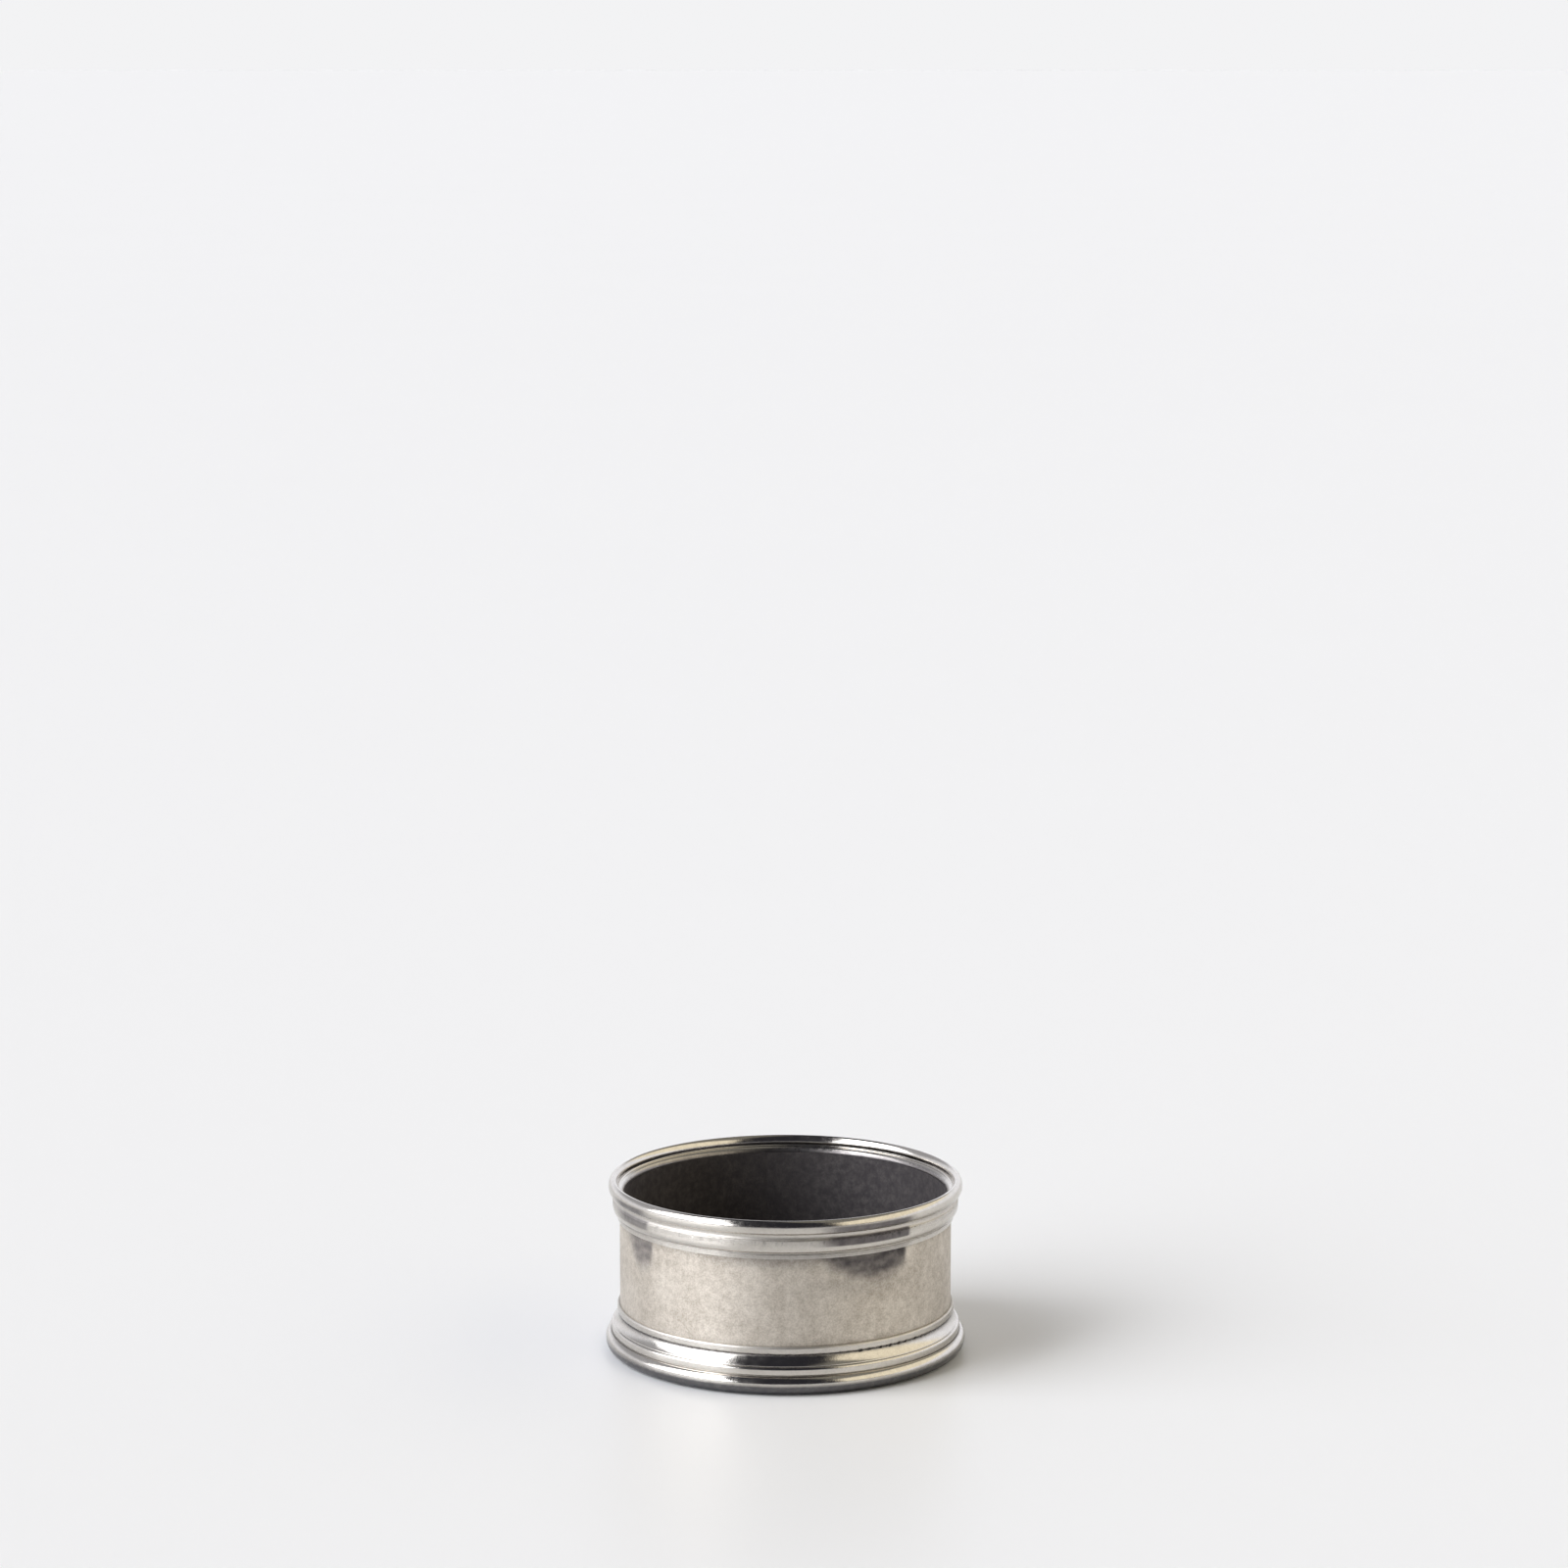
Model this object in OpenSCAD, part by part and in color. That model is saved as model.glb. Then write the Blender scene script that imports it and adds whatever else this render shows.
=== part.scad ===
// Wine bottle coaster: a drum of rolled pewter sheet between turned mouldings, on a felt base.
// Sizes are in millimetres. The origin is the middle of the base, on the table, and +Z is up.

/* [Drum] */
// Outside radius of the drum's wall
wall_r = 46.1; // [42:0.1:54]
// Thickness of the wall's sheet
wall_t = 1.4; // [1:0.1:2]
// Height of the wall, from the floor to its top edge under the lip
wall_h = 40.1; // [34:0.1:60]
// Thickness of the floor plate
floor_t = 1.8; // [1.2:0.1:3]
// Distance of the turned groove in the floor from the wall
groove_gap = 0.6; // [0.3:0.1:2]
// Width of the turned groove in the floor
groove_w = 1; // [0.6:0.1:2]
// Depth of the turned groove in the floor
groove_d = 0.4; // [0.2:0.1:0.8]

/* [Lip] */
// Height of the lip's roll, from the hollow below it to the crest
lip_roll_h = 3.9; // [3:0.1:6]
// Width of the lip's roll, from its outside to its inside
lip_roll_w = 2.75; // [2:0.05:3.5]
// Height of the roll's crown, from its widest line to the crest
lip_crown_h = 2.1; // [1.4:0.1:2.4]
// How far the lip's roll stands out from the wall
lip_out = 3.1; // [2.8:0.1:6]
// Height of the hollow under the lip's roll, with the skirt's edge
lip_hollow_h = 1.8; // [1.2:0.1:3]
// Depth of the hollow under the lip's roll
lip_hollow_d = 0.5; // [0.2:0.1:0.8]
// Length of the skirt that the lip has outside the wall's top edge
skirt_h = 1.3; // [0.8:0.1:1.6]
// How far the skirt's edge stands out from the wall
skirt_out = 2; // [1.4:0.1:2.4]

/* [Collar] */
// Height of the reed, the full moulding under the lip
reed_h = 3.6; // [2.5:0.1:6]
// Height over which the reed rounds in at its bottom
reed_round_h = 1.9; // [1:0.1:2.3]
// How far the reed stands out from the wall
reed_out = 1.9; // [1.2:0.05:3]
// Height of the turned line below the reed
line_h = 0.45; // [0.3:0.05:1]
// Depth of the turned line, measured from the fillet's face
line_d = 0.2; // [0.05:0.05:0.3]
// Height of the plain fillet at the collar's lower edge
fillet_h = 1.25; // [0.8:0.05:2.5]
// How far the plain fillet stands out from the wall
fillet_out = 0.55; // [0.4:0.05:0.9]

/* [Foot bead] */
// Height of the bead above the foot
bead_h = 2.2; // [1.4:0.1:3.5]
// Height over which the bead rounds in at its top and at its bottom
bead_round_h = 0.6; // [0.3:0.05:0.65]
// How far the bead stands out from the wall
bead_out = 0.75; // [0.5:0.05:1.6]

/* [Foot] */
// Height of the cove below the bead
cove_h = 3.05; // [2:0.05:6]
// How far the cove's lower edge stands out from the wall
cove_out = 1.9; // [1.4:0.05:2.1]
// Height of the rounded step below the cove
step_h = 2.4; // [1.8:0.05:4]
// How far the rounded step stands out from the wall
step_out = 2.45; // [2.3:0.05:3]
// How far the crease between the step and the base roll lies from the wall
crease_out = 2.2; // [1.7:0.05:2.25]
// Height of the roll at the foot's bottom edge
base_roll_h = 4.95; // [3.6:0.05:7]
// How far the base roll stands out from the wall
base_out = 4; // [3.2:0.05:8]
// How far the base roll draws in at its bottom
base_under = 1.2; // [0.6:0.1:2]
// Thickness of the flange that carries the floor plate
flange_t = 1.6; // [1:0.1:1.8]
// How far the flange reaches in from the wall's outside
flange_in = 5.1; // [3:0.1:12]

/* [Felt] */
// Thickness of the felt pad, which stands proud of the flange that it lies in
felt_t = 2; // [1.8:0.1:3]
// Gap between the felt's edge and the flange around it
felt_gap = 0.5; // [0.3:0.1:2]

/* [Fits] */
// Width of the solder joint between the wall and what goes round it
solder_gap = 0.1; // [0.05:0.01:0.15]

/* [Hidden] */

// Faces round the axis, and straight pieces in each arc of a profile
round_fn = 144;
arc_steps = 10;

// Heights of the seats and joints above the table
floor_z = felt_t;
floor_top_z = floor_z + floor_t;
wall_top_z = floor_top_z + wall_h;
lip_z = wall_top_z - skirt_h;
collar_z = lip_z - reed_h - line_h - fillet_h;
foot_z = felt_t - flange_t;
foot_top_z = foot_z + base_roll_h + step_h + cove_h;

// Radii that several pieces share
wall_inner_r = wall_r - wall_t;
seat_r = wall_r + solder_gap;
flange_r = wall_r - flange_in;

// Small flat that a turning tool leaves beside an arc
land_w = 0.2;

// Length by which a cutting shape runs past what it cuts
overrun = 1;

// Points of an elliptical arc round a centre, from one angle to another
function arc(centre, reach_r, reach_z, from, to) =
    [for (i = [0 : arc_steps])
        let (a = from + (to - from) * i / arc_steps)
        [centre[0] + reach_r * cos(a), centre[1] + reach_z * sin(a)]];

// A ring turned to a profile of radii and heights
module turned(profile) {
    rotate_extrude($fn = round_fn) polygon(profile);
}

// A plain tube that stands on the plane of its origin
module tube(outer_r, inner_r, height) {
    difference() {
        cylinder(r = outer_r, h = height, $fn = round_fn);
        translate([0, 0, -overrun])
            cylinder(r = inner_r, h = height + 2 * overrun, $fn = round_fn);
    }
}

// The lip: a skirt, a hollow, a full roll and an inner flare, in one casting that caps the wall
module lip_moulding() {
    skirt_r = wall_r + skirt_out;
    skirt_edge_z = lip_z + land_w;
    roll_z = lip_z + lip_hollow_h;
    crest_z = roll_z + lip_roll_h;
    roll_reach = lip_roll_w / 2;
    roll = [wall_r + lip_out - roll_reach, crest_z - lip_crown_h];
    // The arcs stop where two forms meet in a sharp line
    roll_foot_angle = -68;
    roll_end_angle = 192;
    flare_end_angle = 100;
    belly = arc(roll, roll_reach, roll[1] - roll_z, roll_foot_angle, 0);
    crown = arc(roll, roll_reach, lip_crown_h, 0, roll_end_angle);
    hollow_half_h = (belly[0][1] - skirt_edge_z) / 2;
    hollow_mid = [min(skirt_r, belly[0][0]), skirt_edge_z + hollow_half_h];
    hollow = arc(hollow_mid, lip_hollow_d, hollow_half_h, 260, 100);
    crown_end = crown[arc_steps];
    flare_reach = crown_end[0] - wall_inner_r;
    flare_h = crown_end[1] - land_w - wall_top_z;
    flare = arc([crown_end[0], wall_top_z], flare_reach, flare_h, flare_end_angle, 180);
    color([0.72, 0.69, 0.64])
        turned(concat(
            [[seat_r, lip_z], [skirt_r, lip_z]],
            hollow,
            belly,
            [for (i = [1 : arc_steps]) crown[i]],
            flare,
            [[seat_r, wall_top_z]]
        ));
}

// The collar: a reed that rounds in at its bottom, a turned line and a plain fillet, under the lip
module collar_band() {
    line_z = collar_z + fillet_h;
    reed_z = line_z + line_h;
    fillet_r = wall_r + fillet_out;
    line_r = fillet_r - line_d;
    reed_r = wall_r + reed_out;
    reed_foot = arc([fillet_r, reed_z + reed_round_h], reed_out - fillet_out, reed_round_h, -90, 0);
    color([0.70, 0.67, 0.62])
        turned(concat(
            [[seat_r, collar_z], [fillet_r, collar_z], [fillet_r, line_z], [line_r, line_z], [line_r, reed_z]],
            reed_foot,
            [[reed_r, lip_z], [seat_r, lip_z]]
        ));
}

// The drum's wall: one sheet rolled round and closed, standing on the floor plate's margin
module wall_band() {
    color([0.72, 0.69, 0.63])
        translate([0, 0, floor_top_z])
            tube(wall_r, wall_inner_r, wall_h);
}

// The bead: a flat wire with round edges, round the wall on top of the foot
module foot_bead() {
    land_r = seat_r + land_w;
    top_z = foot_top_z + bead_h;
    round_reach = wall_r + bead_out - land_r;
    low = arc([land_r, foot_top_z + bead_round_h], round_reach, bead_round_h, -90, 0);
    high = arc([land_r, top_z - bead_round_h], round_reach, bead_round_h, 0, 90);
    color([0.74, 0.71, 0.66])
        turned(concat([[seat_r, foot_top_z]], low, high, [[seat_r, top_z]]));
}

// The foot: base roll, rounded step and cove outside, and the flange for the floor inside
module foot_moulding() {
    step_z = foot_z + base_roll_h;
    cove_z = step_z + step_h;
    base_r = wall_r + base_out;
    crease_r = wall_r + crease_out;
    step_r = wall_r + step_out;
    cove_r = wall_r + cove_out;
    // The base roll and the step are fullest at these shares of their heights
    base_full_share = 0.57;
    step_full_share = 0.62;
    base_full_z = foot_z + base_full_share * base_roll_h;
    step_full_z = step_z + step_full_share * step_h;
    base_low = arc([base_r - base_under, base_full_z], base_under, base_full_z - foot_z, -90, 0);
    base_top = arc([crease_r, base_full_z], base_r - crease_r, step_z - base_full_z, 0, 90);
    step_low = arc([crease_r, step_full_z], step_r - crease_r, step_full_z - step_z, -90, 0);
    step_top = arc([cove_r, step_full_z], step_r - cove_r, cove_z - step_full_z, 0, 90);
    // The cove is the part of a larger ellipse that starts and ends at these angles
    cove_edge_angle = 235;
    cove_top_angle = 197;
    cove_edge = [cove_r - land_w, cove_z + land_w];
    cove_top = [seat_r + land_w, foot_top_z];
    cove_reach_r = (cove_edge[0] - cove_top[0]) / (cos(cove_edge_angle) - cos(cove_top_angle));
    cove_reach_z = (cove_edge[1] - cove_top[1]) / (sin(cove_edge_angle) - sin(cove_top_angle));
    cove_mid = cove_edge - [cove_reach_r * cos(cove_edge_angle), cove_reach_z * sin(cove_edge_angle)];
    cove = arc(cove_mid, cove_reach_r, cove_reach_z, cove_edge_angle, cove_top_angle);
    color([0.70, 0.67, 0.62])
        turned(concat(
            [[flange_r, foot_z]],
            base_low,
            [for (i = [1 : arc_steps]) base_top[i]],
            [for (i = [1 : arc_steps]) step_low[i]],
            [for (i = [1 : arc_steps]) step_top[i]],
            [[cove_edge[0], cove_z]],
            cove,
            [[seat_r, foot_top_z], [seat_r, floor_z], [flange_r, floor_z]]
        ));
}

// The floor: a turned plate on the foot's flange, with a groove inside the wall's edge
module floor_plate() {
    groove_outer_r = wall_inner_r - groove_gap;
    color([0.66, 0.63, 0.58])
        difference() {
            translate([0, 0, floor_z])
                cylinder(r = wall_r, h = floor_t, $fn = round_fn);
            translate([0, 0, floor_top_z - groove_d])
                tube(groove_outer_r, groove_outer_r - groove_w, groove_d + overrun);
        }
}

// The felt: a pad glued under the floor plate, on which the coaster stands
module felt_pad() {
    color([0.16, 0.24, 0.19])
        cylinder(r = flange_r - felt_gap, h = felt_t, $fn = round_fn);
}

lip_moulding();
collar_band();
wall_band();
foot_bead();
foot_moulding();
floor_plate();
felt_pad();
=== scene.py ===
"""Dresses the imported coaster: turned pewter mouldings round a mottled pewter drum, on a felt base.

Sizes are in millimetres until a mesh is made. The front is towards -Y, and +Z is up.
"""

import math
import random

import bpy
import numpy as np
from mathutils import Euler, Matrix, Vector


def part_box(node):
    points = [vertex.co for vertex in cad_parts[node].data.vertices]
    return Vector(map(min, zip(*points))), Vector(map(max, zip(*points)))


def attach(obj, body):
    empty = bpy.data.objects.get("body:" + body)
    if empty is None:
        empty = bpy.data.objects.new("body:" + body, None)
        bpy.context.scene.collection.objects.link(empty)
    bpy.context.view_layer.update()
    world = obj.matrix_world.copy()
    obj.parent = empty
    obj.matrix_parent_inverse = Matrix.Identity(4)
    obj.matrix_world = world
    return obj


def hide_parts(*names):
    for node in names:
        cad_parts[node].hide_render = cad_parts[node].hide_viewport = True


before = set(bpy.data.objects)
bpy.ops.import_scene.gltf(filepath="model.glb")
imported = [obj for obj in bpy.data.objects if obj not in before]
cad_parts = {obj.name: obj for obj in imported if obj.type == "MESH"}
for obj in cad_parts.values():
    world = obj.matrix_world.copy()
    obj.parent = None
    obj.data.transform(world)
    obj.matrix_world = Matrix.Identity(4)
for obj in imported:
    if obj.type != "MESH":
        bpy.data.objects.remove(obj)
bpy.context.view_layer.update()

MM = 0.001


def box_mm(node):
    """Largest radius, lowest height and highest height of a CAD node, in millimetres."""
    low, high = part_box(node)
    return high.x / MM, low.z / MM, high.z / MM


# Sizes that the frame gives
LIP_R, LIP_Z, CREST_Z = box_mm("lip_moulding")
REED_R, COLLAR_Z, COLLAR_TOP_Z = box_mm("collar_band")
WALL_R, FLOOR_TOP_Z, WALL_TOP_Z = box_mm("wall_band")
BEAD_R, FOOT_TOP_Z, BEAD_TOP_Z = box_mm("foot_bead")
FOOT_R, FOOT_Z, _ = box_mm("foot_moulding")
_, FLOOR_Z, _ = box_mm("floor_plate")
FELT_R, FELT_Z, FELT_TOP_Z = box_mm("felt_pad")

# Sizes inside the profiles, as in the part's source
WALL_T = 1.4
LAND_W = 0.2
LIP_HOLLOW_H = 1.8
LIP_HOLLOW_D = 0.5
LIP_ROLL_W = 2.75
LIP_CROWN_H = 2.1
SKIRT_OUT = 2.0
REED_ROUND_H = 1.9
FILLET_H = 1.25
FILLET_OUT = 0.55
LINE_H = 0.45
LINE_D = 0.2
BEAD_ROUND_H = 0.6
COVE_H = 3.05
COVE_OUT = 1.9
STEP_H = 2.4
STEP_OUT = 2.45
STEP_FULL_SHARE = 0.62
CREASE_OUT = 2.2
BASE_FULL_SHARE = 0.57
FLANGE_IN = 5.1
GROOVE_GAP = 0.6
GROOVE_W = 1.0
GROOVE_D = 0.4

# How far the base roll draws in at its bottom: more than in the part's source, as in the photo
BASE_UNDER = 2.1

# The round edge of the felt
FELT_EDGE = 0.35

# The rings nearly touch the drum here, because solder fills the joint that the solids leave open
SOLDERED_GAP = 0.02
SEAT_R = WALL_R + SOLDERED_GAP
WALL_INNER_R = WALL_R - WALL_T

# Places inside the mouldings
SKIRT_R = WALL_R + SKIRT_OUT
FILLET_R = WALL_R + FILLET_OUT
LINE_R = FILLET_R - LINE_D
LINE_Z = COLLAR_Z + FILLET_H
REED_Z = LINE_Z + LINE_H
LAND_R = SEAT_R + LAND_W
CREASE_R = WALL_R + CREASE_OUT
COVE_Z = FOOT_TOP_Z - COVE_H
STEP_Z = COVE_Z - STEP_H
GROOVE_OUT_R = WALL_INNER_R - GROOVE_GAP
GROOVE_IN_R = GROOVE_OUT_R - GROOVE_W

# Where arcs start and end, in degrees up from outwards
BELLY_START = -68
CROWN_END = 192
HOLLOW_START = 260
HOLLOW_END = 100
FLARE_START = 100
COVE_START = 235
COVE_END = 197

# How finely the pieces are cut: round the axis, along arcs, and along straight runs
RING_COLUMNS = 1080
DRUM_COLUMNS = 720
ARC_STEPS = 22
CROWN_STEPS = 44
REED_STEPS = 30
ROLL_STEPS = 26
SMALL_STEPS = 14
FELT_STEPS = 6
LONG_STEP = 1.4
NEAR_EDGE_STEP = 0.12
SHORT_RUN = 0.3

# Worn corners: the size of the round, the most of a run that it takes, its cuts, and, in degrees, the
# smallest turn that counts as a corner
EDGE_SOFTNESS = 0.09
EDGE_SHARE = 0.45
EDGE_STEPS = 4
CORNER_TURN = 16

# Points nearer than this are one
SAME_PLACE = 1e-4

# Angles round the axis
FRONT = -math.pi / 2
BACK = math.pi / 2


# Profiles


def arc(centre, reach_r, reach_z, start, end, steps=ARC_STEPS):
    """Points of an elliptical arc round a centre, from one angle to another, in degrees."""
    points = []
    for i in range(steps + 1):
        a = math.radians(start + (end - start) * i / steps)
        points.append((centre[0] + reach_r * math.cos(a), centre[1] + reach_z * math.sin(a)))
    return points


def without_doubles(points, closed):
    """The same points, each one once where two follow each other in one place."""
    kept = [points[0]]
    for p in points[1:]:
        if math.dist(p, kept[-1]) > SAME_PLACE:
            kept.append(p)
    if closed and math.dist(kept[0], kept[-1]) < SAME_PLACE:
        kept.pop()
    return kept


def turn_at(before, here, after):
    """How far a line turns at a point, in degrees."""
    first = math.atan2(here[1] - before[1], here[0] - before[0])
    second = math.atan2(after[1] - here[1], after[0] - here[0])
    return abs(math.degrees((second - first + math.pi) % (2 * math.pi) - math.pi))


def softened(points, closed):
    """The profile with each sharp corner worn to a small round."""
    made = []
    count = len(points)
    for i, here in enumerate(points):
        if not closed and i in (0, count - 1):
            made.append(here)
            continue
        before = points[i - 1]
        after = points[(i + 1) % count]
        if turn_at(before, here, after) < CORNER_TURN:
            made.append(here)
            continue
        back = min(EDGE_SOFTNESS, EDGE_SHARE * math.dist(before, here))
        on = min(EDGE_SOFTNESS, EDGE_SHARE * math.dist(here, after))
        start = toward(here, before, back)
        end = toward(here, after, on)
        for k in range(EDGE_STEPS + 1):
            t = k / EDGE_STEPS
            u = 1 - t
            r = u * u * start[0] + 2 * u * t * here[0] + t * t * end[0]
            z = u * u * start[1] + 2 * u * t * here[1] + t * t * end[1]
            made.append((r, z))
    return made


def toward(start, end, distance):
    """The point that is this far from start on the way to end."""
    share = distance / max(math.dist(start, end), 1e-9)
    return (start[0] + (end[0] - start[0]) * share, start[1] + (end[1] - start[1]) * share)


def divided(points, closed):
    """The profile with long straight runs cut up, finely near their ends."""
    made = []
    count = len(points)
    last = count if closed else count - 1
    for i in range(last):
        here = points[i]
        after = points[(i + 1) % count]
        run = math.dist(here, after)
        made.append(here)
        if run < SHORT_RUN:
            continue
        made.append(toward(here, after, NEAR_EDGE_STEP))
        inner = run - 2 * NEAR_EDGE_STEP
        cuts = max(1, math.ceil(inner / LONG_STEP))
        for k in range(1, cuts + 1):
            made.append(toward(here, after, NEAR_EDGE_STEP + inner * k / cuts))
    if not closed:
        made.append(points[-1])
    return made


def profile_of(points, closed=True):
    """A finished profile: no doubles, worn corners, and even spacing."""
    plain = without_doubles(points, closed)
    return without_doubles(divided(softened(plain, closed), closed), closed)


def lip_profile():
    """Skirt, hollow, full roll and inner flare."""
    edge_z = LIP_Z + LAND_W
    roll_z = LIP_Z + LIP_HOLLOW_H
    reach = LIP_ROLL_W / 2
    roll = (LIP_R - reach, CREST_Z - LIP_CROWN_H)
    belly = arc(roll, reach, roll[1] - roll_z, BELLY_START, 0)
    crown = arc(roll, reach, LIP_CROWN_H, 0, CROWN_END, CROWN_STEPS)
    half_h = (belly[0][1] - edge_z) / 2
    middle = (min(SKIRT_R, belly[0][0]), edge_z + half_h)
    hollow = arc(middle, LIP_HOLLOW_D, half_h, HOLLOW_START, HOLLOW_END)
    end_r, end_z = crown[-1]
    flare = arc((end_r, WALL_TOP_Z), end_r - WALL_INNER_R, end_z - LAND_W - WALL_TOP_Z, FLARE_START, 180)
    points = [(SEAT_R, LIP_Z), (SKIRT_R, LIP_Z)]
    return profile_of(points + hollow + belly + crown + flare + [(SEAT_R, WALL_TOP_Z)])


def collar_profile():
    """Plain fillet, turned line and reed."""
    fillet = [(SEAT_R, COLLAR_Z), (FILLET_R, COLLAR_Z), (FILLET_R, LINE_Z)]
    line = [(LINE_R, LINE_Z), (LINE_R, REED_Z)]
    reed = arc((FILLET_R, REED_Z + REED_ROUND_H), REED_R - FILLET_R, REED_ROUND_H, -90, 0, REED_STEPS)
    return profile_of(fillet + line + reed + [(REED_R, COLLAR_TOP_Z), (SEAT_R, COLLAR_TOP_Z)])


def bead_profile():
    """A flat wire with round edges."""
    reach = BEAD_R - LAND_R
    low = arc((LAND_R, FOOT_TOP_Z + BEAD_ROUND_H), reach, BEAD_ROUND_H, -90, 0, SMALL_STEPS)
    high = arc((LAND_R, BEAD_TOP_Z - BEAD_ROUND_H), reach, BEAD_ROUND_H, 0, 90, SMALL_STEPS)
    return profile_of([(SEAT_R, FOOT_TOP_Z)] + low + high + [(SEAT_R, BEAD_TOP_Z)])


def arc_between(low, high, low_angle, high_angle, steps):
    """The part of a larger ellipse that starts and ends at these points, at these angles."""
    cosines = math.cos(math.radians(low_angle)) - math.cos(math.radians(high_angle))
    sines = math.sin(math.radians(low_angle)) - math.sin(math.radians(high_angle))
    reach_r = (low[0] - high[0]) / cosines
    reach_z = (low[1] - high[1]) / sines
    middle_r = low[0] - reach_r * math.cos(math.radians(low_angle))
    middle_z = low[1] - reach_z * math.sin(math.radians(low_angle))
    return arc((middle_r, middle_z), reach_r, reach_z, low_angle, high_angle, steps)


def foot_profile():
    """Flange, base roll, rounded step and cove."""
    step_r = WALL_R + STEP_OUT
    cove_r = WALL_R + COVE_OUT
    step_full_z = STEP_Z + STEP_FULL_SHARE * STEP_H
    full_z = FOOT_Z + BASE_FULL_SHARE * (STEP_Z - FOOT_Z)
    base_low = arc((FOOT_R - BASE_UNDER, full_z), BASE_UNDER, full_z - FOOT_Z, -90, 0, ROLL_STEPS)
    base_top = arc((CREASE_R, full_z), FOOT_R - CREASE_R, STEP_Z - full_z, 0, 90, ROLL_STEPS)
    step_low = arc((CREASE_R, step_full_z), step_r - CREASE_R, step_full_z - STEP_Z, -90, 0, SMALL_STEPS)
    step_top = arc((cove_r, step_full_z), step_r - cove_r, COVE_Z - step_full_z, 0, 90, SMALL_STEPS)
    edge_r = cove_r - LAND_W
    cove = arc_between((edge_r, COVE_Z + LAND_W), (LAND_R, FOOT_TOP_Z), COVE_START, COVE_END, ROLL_STEPS)
    flange_r = WALL_R - FLANGE_IN
    outside = [(flange_r, FOOT_Z)] + base_low + base_top + step_low + step_top + [(edge_r, COVE_Z)] + cove
    return profile_of(outside + [(SEAT_R, FOOT_TOP_Z), (SEAT_R, FLOOR_Z), (flange_r, FLOOR_Z)])


def wall_profile():
    """The drum's sheet, from the floor plate to under the lip."""
    return profile_of([
        (WALL_INNER_R, FLOOR_TOP_Z),
        (WALL_R, FLOOR_TOP_Z),
        (WALL_R, WALL_TOP_Z),
        (WALL_INNER_R, WALL_TOP_Z),
    ])


def floor_profile():
    """The floor plate from its middle underneath, round the edge, to its middle on top."""
    groove_z = FLOOR_TOP_Z - GROOVE_D
    return profile_of([
        (0, FLOOR_Z),
        (WALL_R, FLOOR_Z),
        (WALL_R, FLOOR_TOP_Z),
        (GROOVE_OUT_R, FLOOR_TOP_Z),
        (GROOVE_OUT_R, groove_z),
        (GROOVE_IN_R, groove_z),
        (GROOVE_IN_R, FLOOR_TOP_Z),
        (0, FLOOR_TOP_Z),
    ], closed=False)


def felt_profile():
    """The felt from its middle underneath, round a soft edge, to its middle on top."""
    inner_r = FELT_R - FELT_EDGE
    low = arc((inner_r, FELT_Z + FELT_EDGE), FELT_EDGE, FELT_EDGE, -90, 0, FELT_STEPS)
    high = arc((inner_r, FELT_TOP_Z - FELT_EDGE), FELT_EDGE, FELT_EDGE, 0, 90, FELT_STEPS)
    return profile_of([(0, FELT_Z)] + low + high + [(0, FELT_TOP_Z)], closed=False)


# Hand-made irregularity


# Wobbles: seed, the waves that go into each, and size
OUT_OF_ROUND = (11, (2, 3, 5), 0.035)
RIPPLE = (12, (9, 14, 19, 27), 0.006)
SWAY = (13, (2, 3, 4), 0.03)
SEAM_WANDER = (31, (1, 2), 0.002)
DENTS = (32, (6, 7, 11, 13), 0.012)
WEDGE_HEM = (33, (13, 21, 29), 0.2)
STREAK_WANDER = (34, (17, 23, 31), 0.9)

# Smallest and largest half width, half height and depth of a small pit, and of one in a row
PIT_HALF_W = (0.12, 0.36)
PIT_HALF_H = (0.07, 0.15)
PIT_DEEP = (0.06, 0.16)
ROW_HALF_W = (0.26, 0.46)
ROW_HALF_H = (0.2, 0.3)
ROW_DEEP = 0.3
ROW_OFF = 0.06
ROW_SPACING = (0.75, 1.25)

# Small pits in each joint: seed, number, middle height, spread up and down, and the ring's radius there
LIP_PITS = (21, 80, LIP_Z + 0.2, 0.2, SKIRT_R)
COLLAR_PITS = (22, 80, COLLAR_TOP_Z - 0.1, 0.2, REED_R - 0.6)
BEAD_PITS = (23, 60, FOOT_TOP_Z + 0.2, 0.15, BEAD_R - 0.3)
FOOT_PITS = (24, 60, FOOT_TOP_Z - 0.2, 0.15, LAND_R)

# Where small pits gather: angle and spread, in radians
LIP_CLUSTERS = ((FRONT + 0.45, 0.3), (FRONT - 0.35, 0.35), (BACK, 1.0), (0.0, 0.8), (FRONT, 1.6))
FOOT_CLUSTERS = ((FRONT + 0.62, 0.22), (FRONT + 0.2, 0.35), (BACK - 0.5, 0.9), (math.pi, 0.8), (FRONT, 1.6))

# Rows of larger pits: seed, first and last angle, step in radians, height, the ring's radius, and size
FOOT_ROW_RUN = (25, FRONT + 0.45, FRONT + 1.05, 0.066)
LIP_ROW = (27, FRONT + 0.5, FRONT + 0.84, 0.028, LIP_Z + 0.1, SKIRT_R, 0.6)
BEAD_ROW = (*FOOT_ROW_RUN, FOOT_TOP_Z + 0.1, BEAD_R, 1.0)
FOOT_ROW = (*FOOT_ROW_RUN, FOOT_TOP_Z - 0.15, BEAD_R, 1.0)

# The felt's fibres: seed, height, and how far up the edge they go
FELT_SEED = 41
FIBRE_H = 0.035
FIBRE_EDGE_H = 0.3


def wave(angles, seed, orders, size):
    """A smooth random wobble round the axis."""
    draw = random.Random(seed)
    total = np.zeros_like(angles)
    for n in orders:
        total += draw.uniform(-1, 1) * np.cos(n * angles) + draw.uniform(-1, 1) * np.sin(n * angles)
    return size * total / math.sqrt(len(orders))


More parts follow.
